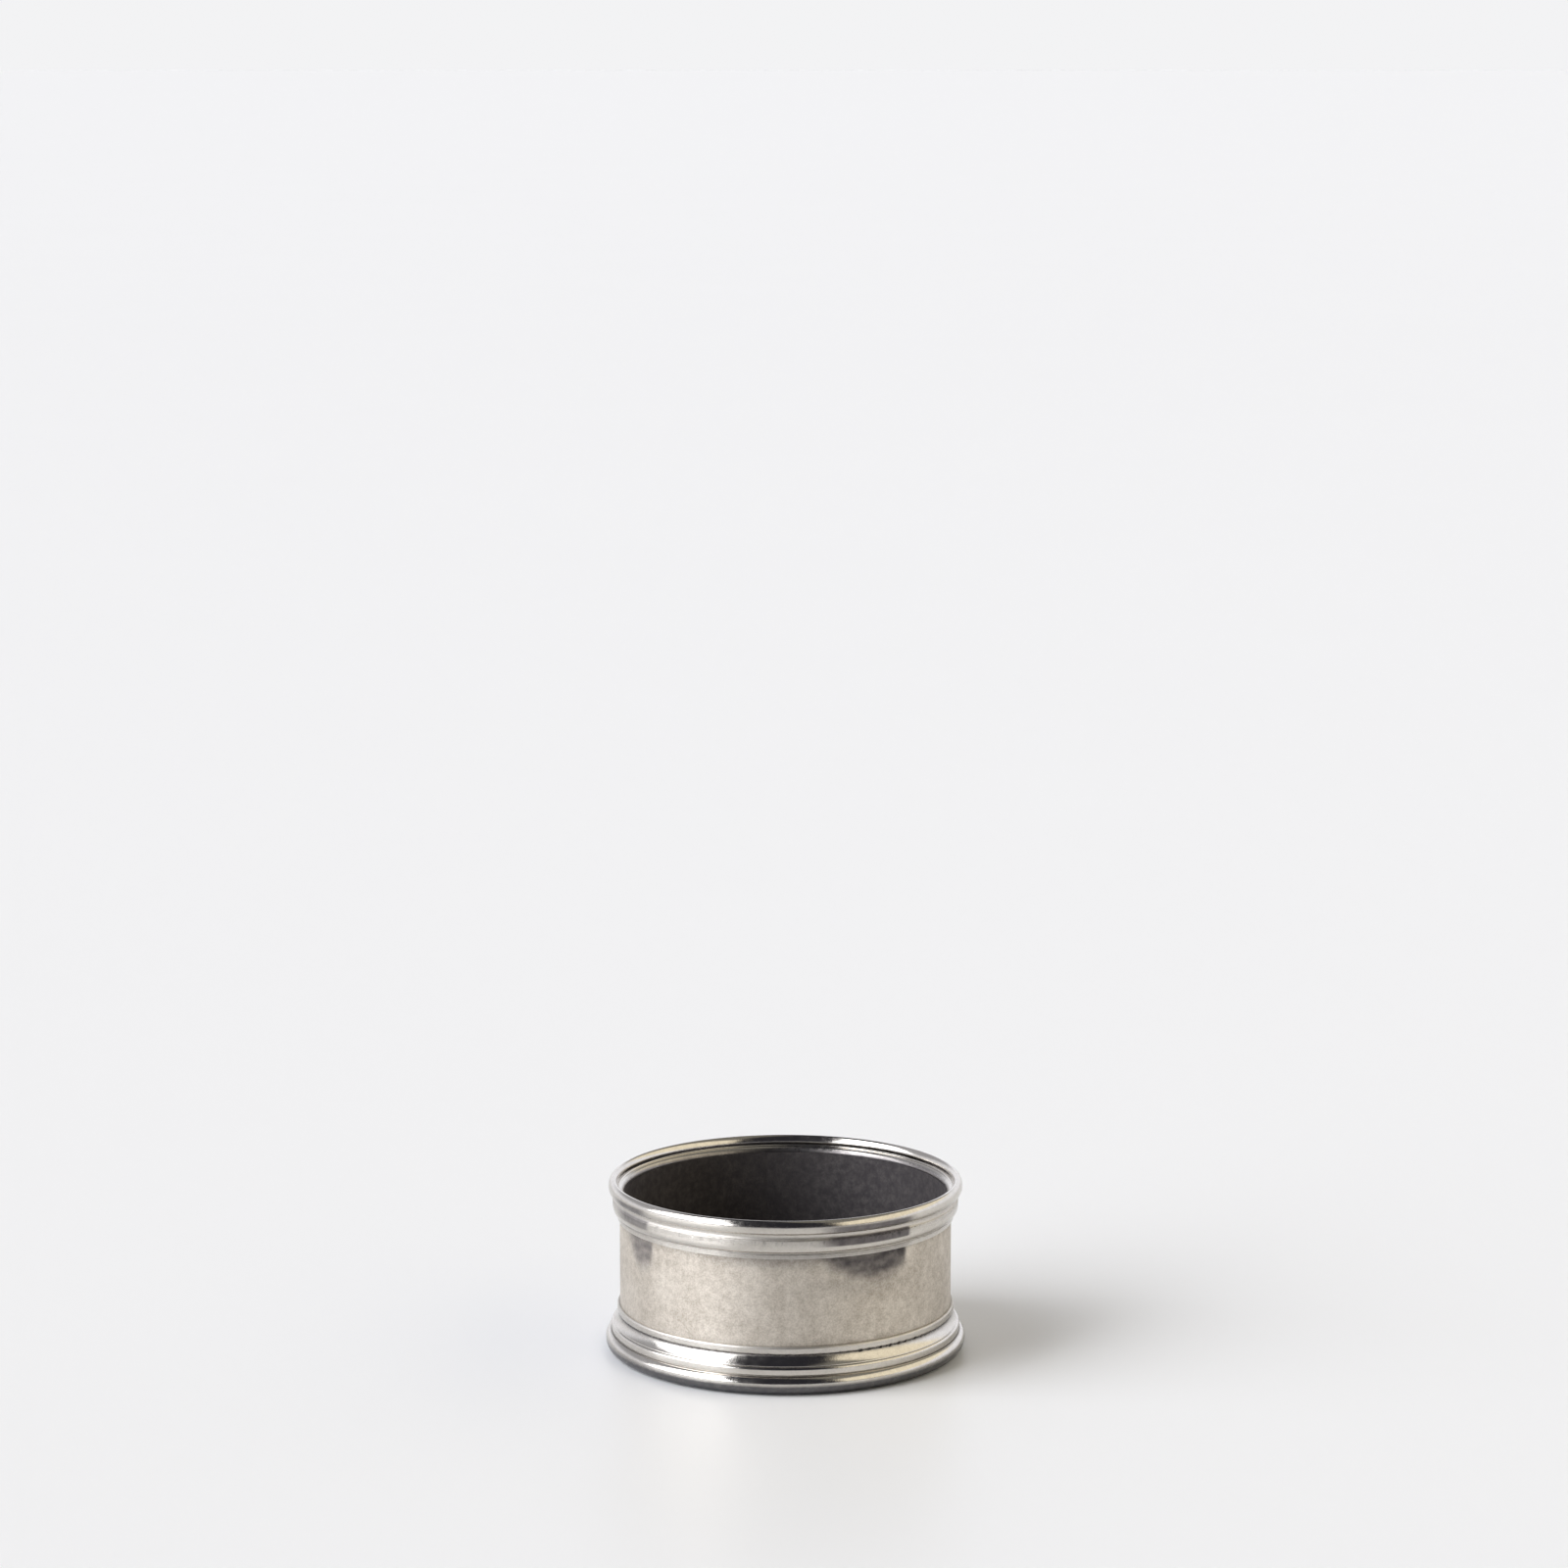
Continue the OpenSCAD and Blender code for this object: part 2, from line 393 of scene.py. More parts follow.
def hand_made(r, z, angles):
    """What hammering, soldering and turning by hand leave: the same for every ring and the drum."""
    lift = (z - FOOT_Z) / (CREST_Z - FOOT_Z)
    off = wave(angles, *OUT_OF_ROUND) + wave(angles, *RIPPLE)
    return r + off * lift, z + wave(angles, *SWAY) * lift


def bump_at(angles, height, middle_angle, middle_z, half_w, half_h, radius):
    """A soft spot on a ring or the drum: 1 in its middle and 0 well outside it."""
    turned_by = (angles - middle_angle + math.pi) % (2 * math.pi) - math.pi
    across = turned_by * radius / half_w
    up = (height - middle_z) / half_h
    return np.exp(-(across * across + up * up))


def press(depth, z, angles, at, level, half_w, half_h, deep, radius):
    """Adds one pit to the depths of a ring's points, where it is deeper than what is there."""
    column_w = 2 * math.pi / depth.shape[1]
    reach = 3 * half_w / radius
    first = math.floor((at - reach + math.pi) / column_w)
    last = math.ceil((at + reach + math.pi) / column_w)
    columns = np.arange(first, last + 1) % depth.shape[1]
    spot = bump_at(angles[:, columns], z[:, columns], at, level, half_w, half_h, radius)
    depth[:, columns] = np.maximum(depth[:, columns], deep * spot)


def pitted(z, angles, pits, clusters):
    """How deep small pits go at each point of a ring, where polishing didn't reach its joint."""
    seed, count, middle_z, spread, radius = pits
    draw = random.Random(seed)
    depth = np.zeros_like(z)
    for _ in range(count):
        middle, reach = draw.choice(clusters)
        at = draw.gauss(middle, reach)
        half_w = draw.uniform(*PIT_HALF_W)
        half_h = draw.uniform(*PIT_HALF_H)
        deep = draw.uniform(*PIT_DEEP)
        level = middle_z + draw.uniform(-spread, spread)
        press(depth, z, angles, at, level, half_w, half_h, deep, radius)
    return depth


def add_row(depth, z, angles, row):
    """Adds a row of larger pits side by side along a joint."""
    seed, at, last, step, middle_z, radius, size = row
    draw = random.Random(seed)
    while at < last:
        level = middle_z + draw.uniform(-ROW_OFF, ROW_OFF)
        half_w = size * draw.uniform(*ROW_HALF_W)
        half_h = size * draw.uniform(*ROW_HALF_H)
        press(depth, z, angles, at, level, half_w, half_h, size * ROW_DEEP, radius)
        at += step * draw.uniform(*ROW_SPACING)


# Meshes


def turned(name, profile, columns, shape, closed=True):
    """A mesh turned about the axis from a profile, shaped by hand, with its marks kept as attributes."""
    angles = np.linspace(-math.pi, math.pi, columns, endpoint=False)[None, :]
    rows = len(profile)
    r = np.repeat(np.array([p[0] for p in profile])[:, None], columns, 1)
    z = np.repeat(np.array([p[1] for p in profile])[:, None], columns, 1)
    a = np.repeat(angles, rows, 0)
    marks = {key: np.zeros_like(r) for key in ("crevice", "patina", "slate", "matt")}
    r, z, marks = shape(r, z, a, marks)
    places = np.stack([r * np.cos(a), r * np.sin(a), z], 2).reshape(-1, 3) * MM
    index = np.arange(rows * columns).reshape(rows, columns)
    below = index if closed else index[:-1]
    above = np.roll(index, -1, 0) if closed else index[1:]
    quads = np.stack([below, np.roll(below, -1, 1), np.roll(above, -1, 1), above], 2).reshape(-1, 4)
    faces = quads.tolist()
    values = {key: value.reshape(-1) for key, value in marks.items()}
    if not closed:
        places, faces, values = with_poles(places, faces, values, index)
    mesh = bpy.data.meshes.new(name)
    mesh.from_pydata(places.tolist(), [], faces)
    mesh.shade_smooth()
    for key, value in values.items():
        attribute = mesh.attributes.new(key, "FLOAT", "POINT")
        attribute.data.foreach_set("value", value.astype(np.float32))
    made = bpy.data.objects.new(name, mesh)
    bpy.context.scene.collection.objects.link(made)
    return made


def with_poles(places, faces, values, index):
    """Closes a mesh whose first and last rows lie on the axis, with one point for each of them."""
    rows, columns = index.shape
    first = places[index[0]].mean(0)
    last = places[index[-1]].mean(0)
    inner = places[columns:-columns]
    count = len(inner)
    places = np.vstack([inner, first, last])
    kept = [[v - columns for v in f] for f in faces[columns:-columns]]
    for j in range(columns):
        k = (j + 1) % columns
        top = (rows - 3) * columns
        kept.append([count, k, j])
        kept.append([top + j, top + k, count + 1])
    grown = {}
    for key, value in values.items():
        grown[key] = np.concatenate([value[columns:-columns], [value[0], value[-1]]])
    return places, kept, grown


def finished(made, node, material):
    """Puts a piece in its CAD node's place, with its material."""
    made.data.materials.append(material)
    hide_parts(node)
    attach(made, "root")


# The marks and wear of each piece


# How far marks reach from the joints, corners and hollows where they lie
JOINT_REACH = 0.3
FOOT_JOINT_REACH = 0.45
CREASE_REACH = 0.3
BEAD_TOP_REACH = 0.8
HOLLOW_DULL_REACH = 0.7
HOLLOW_DARK_REACH = 0.8
DRUM_END_REACH = 0.5
GROOVE_REACH = 0.5

# Where those of the lip's hollow and of the bead's top lie
HOLLOW_DULL_AT = (SKIRT_R - 0.3, LIP_Z + 0.4)
HOLLOW_DARK_AT = (SKIRT_R - 0.4, LIP_Z + 0.9)
BEAD_TOP_AT = (SEAT_R + 0.4, BEAD_TOP_Z)

# How dark places are, from 0 to 1: dirt at the joints, in the turned line, at the bead's top and at the
# drum's ends, dirt and painted shade in the foot's crease, and painted shade inside; and how strongly a
# pit's depth shows as dirt at the top and at the foot
JOINT_DIRT = 0.05
LINE_DIRT = 0.25
BEAD_TOP_DIRT = 0.08
CREASE_DIRT_AND_SHADE = 0.2
DRUM_DIRT = 0.35
INSIDE_SHADE = 0.2
TOP_PIT_DIRT = 4
FOOT_PIT_DIRT = 6

# How far round the foot counts as its side: 0 is the front, and 1 is a quarter turn from it
SIDE_TURN = 0.45

# What the foot's sides have more of than its front: reach of the dirt and painted shadow under the bead and
# of the crease's dirt and painted shade, painted shade in the crease, and height and softness of the
# slate-coloured band
SIDE_JOINT_REACH = 0.4
SIDE_CREASE_REACH = 0.15
SIDE_CREASE_SHADE = 0.4
SIDE_SLATE_H = 1.0
SIDE_SLATE_FADE_H = 1.1

# The slate-coloured band of the base roll, tarnish with a painted dark reflection of the shaded floor under
# it:
# its height, the fade at its top, and what its lowest edge adds as painted shade next to the contact
SLATE_H = 2.95
SLATE_FADE_H = 0.7
SLATE_EDGE_H = 1.1
SLATE_EDGE = 0.16

# How dull the turned line and the foot's crease are, next to a joint
LINE_MATT = 0.7
CREASE_MATT = 0.7

# The two dark stretches round the top, which are painted dark reflections: first angle, last angle and
# width of the fade-in
RIGHT_REFLECTION = (FRONT + 0.24, FRONT + 0.775, 0.22)
LEFT_REFLECTION = (FRONT - 1.24, FRONT - 0.9, 0.25)
RIGHT_STRENGTH = 1.1
LEFT_STRENGTH = 0.65
SHORT_END = 0.04
ROLL_END = 0.12
REFLECTION_FADE_H = 0.7

# Lowest and highest place of those stretches on the lip's hollow, its roll and the reed
HOLLOW_REFLECTION = (LIP_Z - 0.4, LIP_Z + 0.7)
ROLL_REFLECTION = (LIP_Z + 2.2, LIP_Z + 3.9)
REED_REFLECTION = (COLLAR_TOP_Z - 1.8, COLLAR_TOP_Z + 0.5)

# How strong the painted dark reflection is on the roll and on the reed, tarnish at a joint or in the
# hollow, and the painted shade on the flare
ROLL_REFLECTION_STRENGTH = 0.85
REED_REFLECTION_STRENGTH = 1.1
JOINT_TARNISH = 0.15
FLARE_SHADE = 0.9

# Darkening on the collar's fillet: strength at the front, gain to the right, and where it starts and ends
FILLET_STRENGTH = 0.32
FILLET_GAIN = 0.2
FILLET_STRETCH = (FRONT - 0.35, FRONT + 0.8, 0.5, 0.15)

# Soft dark spots on the drum: the first, below the collar at the front, is painted shade, the second, at
# the front right, a painted dark reflection, and the rest tarnish that hands and polish left. Angle,
# height, half width, half height, strength
DRUM_DARK_SPOTS = (
    (FRONT - 0.05, COLLAR_Z - 0.7, 17.0, 1.9, 0.42),
    (FRONT + 0.45, COLLAR_Z - 8.3, 13.0, 3.0, 0.25),
    (BACK + 0.55, COLLAR_Z - 7.3, 10.0, 4.0, 0.35),
    (BACK - 0.75, BEAD_TOP_Z + 5.0, 7.0, 4.5, 0.3),
    (math.pi, BEAD_TOP_Z + 9.0, 6.0, 8.0, 0.25),
    (0.25, BEAD_TOP_Z + 3.5, 8.0, 3.0, 0.3),
)

# Dark wedges with one sharp end: the two at the front are painted dark reflections, and the one at the back
# a stain. Angle where they fade in, sharp end, highest and lowest height, strength
DARK_WEDGES = (
    (FRONT + 0.2, FRONT + 0.785, COLLAR_Z + 0.3, COLLAR_Z - 7.1, 1.12),
    (FRONT - 1.2, FRONT - 0.903, COLLAR_Z + 0.5, COLLAR_Z - 8.3, 0.85),
    (BACK - 0.3, BACK + 0.25, COLLAR_Z + 0.2, COLLAR_Z - 4.3, 0.7),
)

# A wedge's outline: share of its depth at the thin end, where on a half wave its sharp end lies, how softly
# it starts, how far it fades out downwards and upwards, and how quickly it deepens
WEDGE_THIN = 0.25
WEDGE_PEAK = 0.8
WEDGE_FADE_IN = 0.25
WEDGE_FADE_H = 7.0
WEDGE_TOP_FADE_H = 1.6
WEDGE_CURVE = 1.3

# A wedge's sharp end: its softness in radians, and how much softer it gets lower down
SHARP_SOFT = 0.035
LOW_SOFT = 0.08
SOFT_BELOW = 4.0
SOFT_OVER = 3.0

# Slanting streaks in a wedge: their strength, and how fast they follow each other up and round
STREAKS = 0.14
STREAKS_UP = 1.9
STREAKS_ROUND = 9.0

# The drum: share of the sheet's thickness that counts as its outside, and the seam's place and shape
OUTER_SKIN = 0.3
SEAM_ANGLE = BACK + 0.12
SEAM_H = 0.05
SEAM_HALF_W = 0.5

# The floor's darkening: in the middle, what is added next to the drum, and how far that reaches
FLOOR_DARK = 0.3
FLOOR_EDGE_DARK = 0.5
FLOOR_EDGE_REACH = 6.0


def corner_marks(r, z, corners, reach):
    """How deep each point sits in one of these corners, for grime, oxide, dull metal and painted shade."""
    total = np.zeros_like(r)
    for corner_r, corner_z in corners:
        away = ((r - corner_r) ** 2 + (z - corner_z) ** 2) / (reach * reach)
        total = np.maximum(total, np.exp(-away))
    return total


def stretch(at, first, last, soft_first, soft_last):
    """1 between two angles or heights, fading in over the first width and out over the last."""
    rise = np.clip((at - first) / soft_first + 0.5, 0, 1)
    fall = np.clip((last - at) / soft_last + 0.5, 0, 1)
    return rise * rise * (3 - 2 * rise) * fall * fall * (3 - 2 * fall)


def painted_dark_reflection(z, a, low, high, end=SHORT_END, left=LEFT_STRENGTH):
    """The painted dark reflections round the top, between two heights, each with one short end."""
    level = stretch(z, low, high, REFLECTION_FADE_H, REFLECTION_FADE_H)
    return level * (RIGHT_STRENGTH * stretch(a, *RIGHT_REFLECTION, end) + left * stretch(a, *LEFT_REFLECTION, end))


def shape_lip(r, z, a, marks):
    """Pits and dark oxide in the hollow, painted dark reflections on the hollow and roll, painted shade on
    the flare.
    """
    depth = pitted(z, a, LIP_PITS, LIP_CLUSTERS)
    add_row(depth, z, a, LIP_ROW)
    outside = np.clip((r - SKIRT_R + 0.5) / 0.5, 0, 1)
    low = np.clip((LIP_Z + LIP_HOLLOW_H - z) / 0.6, 0, 1)
    depth = depth * outside * low
    joint = corner_marks(r, z, [(SKIRT_R, LIP_Z)], JOINT_REACH)
    hollow = corner_marks(r, z, [HOLLOW_DARK_AT], HOLLOW_DARK_REACH)
    marks["crevice"] = np.clip(JOINT_DIRT * joint + TOP_PIT_DIRT * depth, 0, 1)
    marks["matt"] = corner_marks(r, z, [HOLLOW_DULL_AT], HOLLOW_DULL_REACH)
    # Painted shade on the inner flare
    flare = np.clip((WALL_INNER_R + 0.9 - r) / 0.8, 0, 1)
    # Painted dark reflections on the hollow and the roll, then tarnish in the hollow
    dark = painted_dark_reflection(z, a, *HOLLOW_REFLECTION) + ROLL_REFLECTION_STRENGTH * painted_dark_reflection(z, a, *ROLL_REFLECTION, ROLL_END, 1.0)
    dark = (dark + JOINT_TARNISH * hollow) * (r > WALL_R)
    marks["patina"] = np.clip(FLARE_SHADE * flare + dark, 0, 1)
    return *hand_made(r - depth, z, a), marks


def shape_collar(r, z, a, marks):
    """Pits above the reed, dull metal in the turned line, a painted dark reflection on the reed, and
    darkening on the fillet.
    """
    depth = pitted(z, a, COLLAR_PITS, LIP_CLUSTERS)
    depth = depth * np.clip((r - WALL_R - 0.2) / 0.4, 0, 1)
    joint = corner_marks(r, z, [(REED_R, COLLAR_TOP_Z)], JOINT_REACH)
    line = corner_marks(r, z, [(LINE_R, LINE_Z), (LINE_R, REED_Z)], JOINT_REACH)
    marks["crevice"] = np.clip(JOINT_DIRT * joint + LINE_DIRT * line + TOP_PIT_DIRT * depth, 0, 1)
    marks["matt"] = np.maximum(joint, LINE_MATT * line)
    fillet = (FILLET_STRENGTH + FILLET_GAIN * np.sin(a - FRONT)) * stretch(a, *FILLET_STRETCH)
    # A painted dark reflection on the reed, and darkening on the fillet
    dark = REED_REFLECTION_STRENGTH * painted_dark_reflection(z, a, *REED_REFLECTION) + fillet * (z < LINE_Z)
    marks["patina"] = np.clip(dark + JOINT_TARNISH * joint, 0, 1)
    return *hand_made(r - depth, z, a), marks


def foot_depth(r, z, a, pits, row):
    """How deep the pits go on a ring at the foot: none where it lies against the drum."""
    depth = pitted(z, a, pits, FOOT_CLUSTERS)
    add_row(depth, z, a, row)
    return depth * np.clip((r - SEAT_R) / LAND_W, 0, 1)


def shape_bead(r, z, a, marks):
    """Pits, grime with a painted shadow under the bead, and dull metal where its top meets the drum."""
    depth = foot_depth(r, z, a, BEAD_PITS, BEAD_ROW)
    low = corner_marks(r, z, [(LAND_R, FOOT_TOP_Z)], FOOT_JOINT_REACH)
    high = corner_marks(r, z, [BEAD_TOP_AT], BEAD_TOP_REACH)
    # Dirt in the pits, and under the bead dirt with a painted shadow
    marks["crevice"] = np.clip(low + BEAD_TOP_DIRT * high + FOOT_PIT_DIRT * depth, 0, 1)
    marks["matt"] = high
    return *hand_made(r - depth, z, a), marks


def shape_foot(r, z, a, marks):
    """Pits, grime with a painted shadow above the cove, grime and painted shade in the crease, and the base
    roll's slate-coloured lower half.
    """
    depth = foot_depth(r, z, a, FOOT_PITS, FOOT_ROW)
    side = np.clip(1 - np.cos(a - FRONT), 0, SIDE_TURN) / SIDE_TURN
    # Under the bead, dirt with a painted shadow that reaches further at the sides; in the crease, dirt and
    # painted shade
    joint = corner_marks(r, z, [(LAND_R, FOOT_TOP_Z)], FOOT_JOINT_REACH + SIDE_JOINT_REACH * side)
    crease = corner_marks(r, z, [(CREASE_R, STEP_Z)], CREASE_REACH + SIDE_CREASE_REACH * side)
    crease_dirt_and_shade = (CREASE_DIRT_AND_SHADE + SIDE_CREASE_SHADE * side) * crease
    marks["crevice"] = np.clip(joint + crease_dirt_and_shade + FOOT_PIT_DIRT * depth, 0, 1)
    marks["matt"] = CREASE_MATT * crease
    # The slate-coloured band: tarnish with a painted dark reflection of the shaded floor, taller at the
    # sides and darkest at the lowest edge
    band_z = FOOT_Z + SLATE_H + SIDE_SLATE_H * side
    band = np.clip((band_z - z) / (SLATE_FADE_H + SIDE_SLATE_FADE_H * side), 0, 1)
    lowest = np.clip((FOOT_Z + SLATE_EDGE_H - z) / SLATE_EDGE_H, 0, 1)
    marks["slate"] = ((1 - SLATE_EDGE) * band + SLATE_EDGE * lowest) * (r > WALL_R)
    return *hand_made(r - depth, z, a), marks


def dark_wedge(z, a, first, sharp, high, low):
    """A dark wedge, a painted dark reflection at the front and discolouring at the back: thin where it
    fades in, deep towards its sharp end.
    """
    share = np.clip((a - first) / (sharp - first), 0, 1)
    hump = WEDGE_THIN + (1 - WEDGE_THIN) * np.sin(math.pi * WEDGE_PEAK * share)
    lowest = high - (high - low) * hump + wave(a, *WEDGE_HEM)
    level = stretch(z, lowest, high + 1.0, WEDGE_FADE_H, WEDGE_TOP_FADE_H) ** WEDGE_CURVE
    slant = z * STREAKS_UP - a * STREAKS_ROUND + wave(a, *STREAK_WANDER)
    streaks = 1 - STREAKS + STREAKS * np.sin(slant)
    end = SHARP_SOFT + LOW_SOFT * np.clip((high - SOFT_BELOW - z) / SOFT_OVER, 0, 1)
    return level * streaks * stretch(a, first, sharp, WEDGE_FADE_IN, end)


def drum_tarnish_shade_and_reflections(z, a):
    """How dark the drum's outside is: soft spots of oxide, painted shade and painted dark reflection, and
    wedges of painted dark reflection and discolouring.
    """
    total = np.zeros_like(z)
    for angle, height, half_w, half_h, strength in DRUM_DARK_SPOTS:
        total += strength * bump_at(a, z, angle, height, half_w, half_h, WALL_R)
    for first, sharp, high, low, strength in DARK_WEDGES:
        total = np.maximum(total, strength * dark_wedge(z, a, first, sharp, high, low))
    return np.clip(total, 0, 1)


def shape_wall(r, z, a, marks):
    """Oxide, discolouring, painted shade and painted dark reflections outside, painted shade inside, a seam
    at the back, and shallow dents.
    """
    outside = r > WALL_R - OUTER_SKIN * WALL_T
    low_end = np.exp(-(((z - BEAD_TOP_Z) / DRUM_END_REACH) ** 2))
    high_end = np.exp(-(((z - COLLAR_Z) / DRUM_END_REACH) ** 2))
    # Outside, tarnish with painted shade and painted dark reflections; inside, painted shade all over
    marks["patina"] = np.where(outside, drum_tarnish_shade_and_reflections(z, a), 1.0)
    marks["crevice"] = np.where(outside, DRUM_DIRT * np.clip(low_end + 0.7 * high_end, 0, 1), INSIDE_SHADE)
    off = (a - SEAM_ANGLE + wave(z / 10, *SEAM_WANDER)) * WALL_R
    ridge = SEAM_H * np.exp(-((off / SEAM_HALF_W) ** 2))
    up = (z - FLOOR_TOP_Z) / (WALL_TOP_Z - FLOOR_TOP_Z)
    dents = wave(a, *DENTS) * np.sin(math.pi * up)
    new_r, new_z = hand_made(r, z, a)
    return new_r + ridge + dents, new_z, marks


def shape_floor(r, z, a, marks):
    """Grime in the floor's groove, and darkening that deepens towards the drum."""
    groove_r = (GROOVE_OUT_R + GROOVE_IN_R) / 2
    marks["crevice"] = np.exp(-(((r - groove_r) / GROOVE_REACH) ** 2)) * (z > FLOOR_Z + 0.5)
    near_drum = np.exp(-(((r - WALL_INNER_R) / FLOOR_EDGE_REACH) ** 2))
    marks["patina"] = FLOOR_DARK + FLOOR_EDGE_DARK * near_drum
    return r, z, marks


def shape_felt(r, z, a, marks):
    """Uneven fibres underneath and round the edge."""
    draw = np.random.default_rng(FELT_SEED)
    fibres = np.abs(draw.normal(0, FIBRE_H, r.shape))
    below_top = np.clip((FELT_TOP_Z - FIBRE_EDGE_H - z) / FIBRE_EDGE_H, 0, 1)
    sideways = fibres * below_top * (r > FELT_R / 2)
    return r - sideways, z + fibres * (z < FELT_Z + FIBRE_EDGE_H), marks


# Materials


def put(tree, kind, inputs=None, **settings):
    """A node with its settings, its values and its links."""
    made = tree.nodes.new(kind)
    for key, value in settings.items():
        setattr(made, key, value)
    for key, value in (inputs or {}).items():
        socket = made.inputs[key]
        if isinstance(value, bpy.types.NodeSocket):
            tree.links.new(value, socket)
        else:
            socket.default_value = value
    return made


def new_material(name):
    """A material with one shader, its node tree and that shader."""
    made = bpy.data.materials.new(name)
    made.use_nodes = True
    tree = made.node_tree
    tree.nodes.clear()
    out = tree.nodes.new("ShaderNodeOutputMaterial")
    shader = tree.nodes.new("ShaderNodeBsdfPrincipled")
    tree.links.new(shader.outputs["BSDF"], out.inputs["Surface"])
    return made, tree, shader


def noise_at(tree, place, scale, detail, rough):
    """Noise, given its scale to the metre, its detail and its roughness."""
    values = {"Vector": place, "Scale": scale, "Detail": detail, "Roughness": rough}
    return put(tree, "ShaderNodeTexNoise", values).outputs["Fac"]


def ramp_of(tree, value, low, high, to_low=0.0, to_high=1.0):
    """The value taken smoothly from one range to another."""
    values = {"Value": value, "From Min": low, "From Max": high, "To Min": to_low, "To Max": to_high}
    return put(tree, "ShaderNodeMapRange", values, interpolation_type="SMOOTHSTEP").outputs["Result"]


def maths(tree, operation, a, b=0.0):
    """One operation on two values."""
    return put(tree, "ShaderNodeMath", {0: a, 1: b}, operation=operation).outputs[0]


def blend_colour(tree, factor, a, b):
    """Colour a where the factor is 0, and colour b where it is 1."""
    made = tree.nodes.new("ShaderNodeMix")
    made.data_type = "RGBA"
    for socket, value in ((made.inputs[0], factor), (made.inputs[6], a), (made.inputs[7], b)):
        if isinstance(value, bpy.types.NodeSocket):
            tree.links.new(value, socket)
        else:
            socket.default_value = value
    return made.outputs[2]


def mark(tree, name):
    """One of the marks that a mesh carries."""
    return put(tree, "ShaderNodeAttribute", attribute_name=name).outputs["Fac"]


def rgb(red, green, blue):
    """A colour with full opacity."""
    return (red, green, blue, 1.0)


# Noises of pewter: scale, detail and roughness
CLOUDS = (85.0, 3.0, 0.6)
BLOTS = (480.0, 4.0, 0.65)
GRAIN = (2100.0, 3.0, 0.65)
TURNING = (1.0, 2.0, 0.6)
TURNING_SCALE = (40.0, 40.0, 5200.0)

# Where each noise starts and ends to count, and what it then gives
CLOUD_TONE = (0.3, 0.7, 0.0, 0.4)
BLOT_TONE = (0.3, 0.7, 0.0, 0.4)
GRAIN_TONE = (0.36, 0.66, 0.0, 0.5)
TARNISH_AND_SHADE_BREAK = (0.2, 0.7, 0.88, 1.0)
SLATE_BREAK = (0.15, 0.7, 0.93, 1.0)
DIRT_AND_SHADE_BREAK = (0.25, 0.6, 0.7, 1.0)

# Colours of tarnish with painted shade and painted dark reflections, of the foot's underside, which is
# tarnish with a painted dark reflection, and of dirt with painted shade, and how fully the first covers
PATINA_AND_SHADE_COLOUR = (0.105, 0.096, 0.102)
SLATE = (0.032, 0.034, 0.046)
DIRT_AND_SHADE = (0.022, 0.02, 0.024)
PATINA_AND_SHADE_COVER = 0.97

# How much rougher tarnish, dirt, the painted shade that shares their marks, and dull metal are, and how far
# blots change the roughness
BLOT_ROUGH = 0.3
TARNISH_ROUGH = 0.2
DIRT_ROUGH = 0.4
MATT_ROUGH = 0.32

# Relief of the grain and of the turning lines, with depths in metres
GRAIN_BUMP = 0.35
GRAIN_DEPTH = 0.00004
TURNING_DEPTH = 0.00002

# Finishes of pewter: light colour, dark colour, roughness, mottling, and strength of the turning lines
POLISHED = ((0.63, 0.60, 0.555), (0.48, 0.45, 0.41), 0.15, 0.6, 0.25)
SATIN = ((0.70, 0.65, 0.58), (0.425, 0.38, 0.325), 0.52, 0.88, 0.12)
DULL = ((0.50, 0.47, 0.43), (0.36, 0.33, 0.30), 0.42, 1.0, 0.4)

# Felt: its two noises and what each gives, its greens, its finish, and its nap with the depth in metres
FIBRES = (2600.0, 5.0, 0.75)
FIBRE_TONE = (0.3, 0.7)
FELT_CLOUDS = (160.0, 3.0, 0.6)
FELT_CLOUD_TONE = (0.35, 0.7, 0.0, 0.5)
DARK_FIBRE = (0.018, 0.045, 0.028)
LIGHT_FIBRE = (0.055, 0.115, 0.07)
FELT_GREEN = (0.03, 0.07, 0.045)
FELT_ROUGHNESS = 0.95
FELT_SHEEN = 0.35
NAP_BUMP = 0.8
NAP_DEPTH = 0.0002


def pewter_tone(tree, clouds, blots, grain, mottle):
    """How dark the metal is at each place, from 0 to the mottling."""
    tone = maths(tree, "ADD", ramp_of(tree, clouds, *CLOUD_TONE), ramp_of(tree, blots, *BLOT_TONE))
    tone = maths(tree, "ADD", tone, ramp_of(tree, grain, *GRAIN_TONE))
    return maths(tree, "MULTIPLY", tone, mottle)


def pewter_roughness(tree, rough, blots, tarnish_and_painted_dark, dirt_and_shade):
    """Roughness that blots change, and that oxide, grime, the painted shade in their marks, and dull metal
    raise.
    """
    uneven = maths(tree, "SUBTRACT", blots, 0.5)
    level = maths(tree, "ADD", rough, maths(tree, "MULTIPLY", uneven, BLOT_ROUGH))
    for amount, more in ((tarnish_and_painted_dark, TARNISH_ROUGH), (dirt_and_shade, DIRT_ROUGH), (mark(tree, "matt"), MATT_ROUGH)):
        level = maths(tree, "ADD", level, maths(tree, "MULTIPLY", amount, more))
    return level


def pewter_relief(tree, place, grain, ring_bump):
    """Fine grain with turning lines over it."""
    rings = put(tree, "ShaderNodeMapping", {"Vector": place, "Scale": TURNING_SCALE}).outputs[0]
    lines = noise_at(tree, rings, *TURNING)
    fine = {"Strength": GRAIN_BUMP, "Distance": GRAIN_DEPTH, "Height": grain}
    under = put(tree, "ShaderNodeBump", fine).outputs[0]
    cut = {"Strength": ring_bump, "Distance": TURNING_DEPTH, "Height": lines, "Normal": under}
    return put(tree, "ShaderNodeBump", cut).outputs[0]


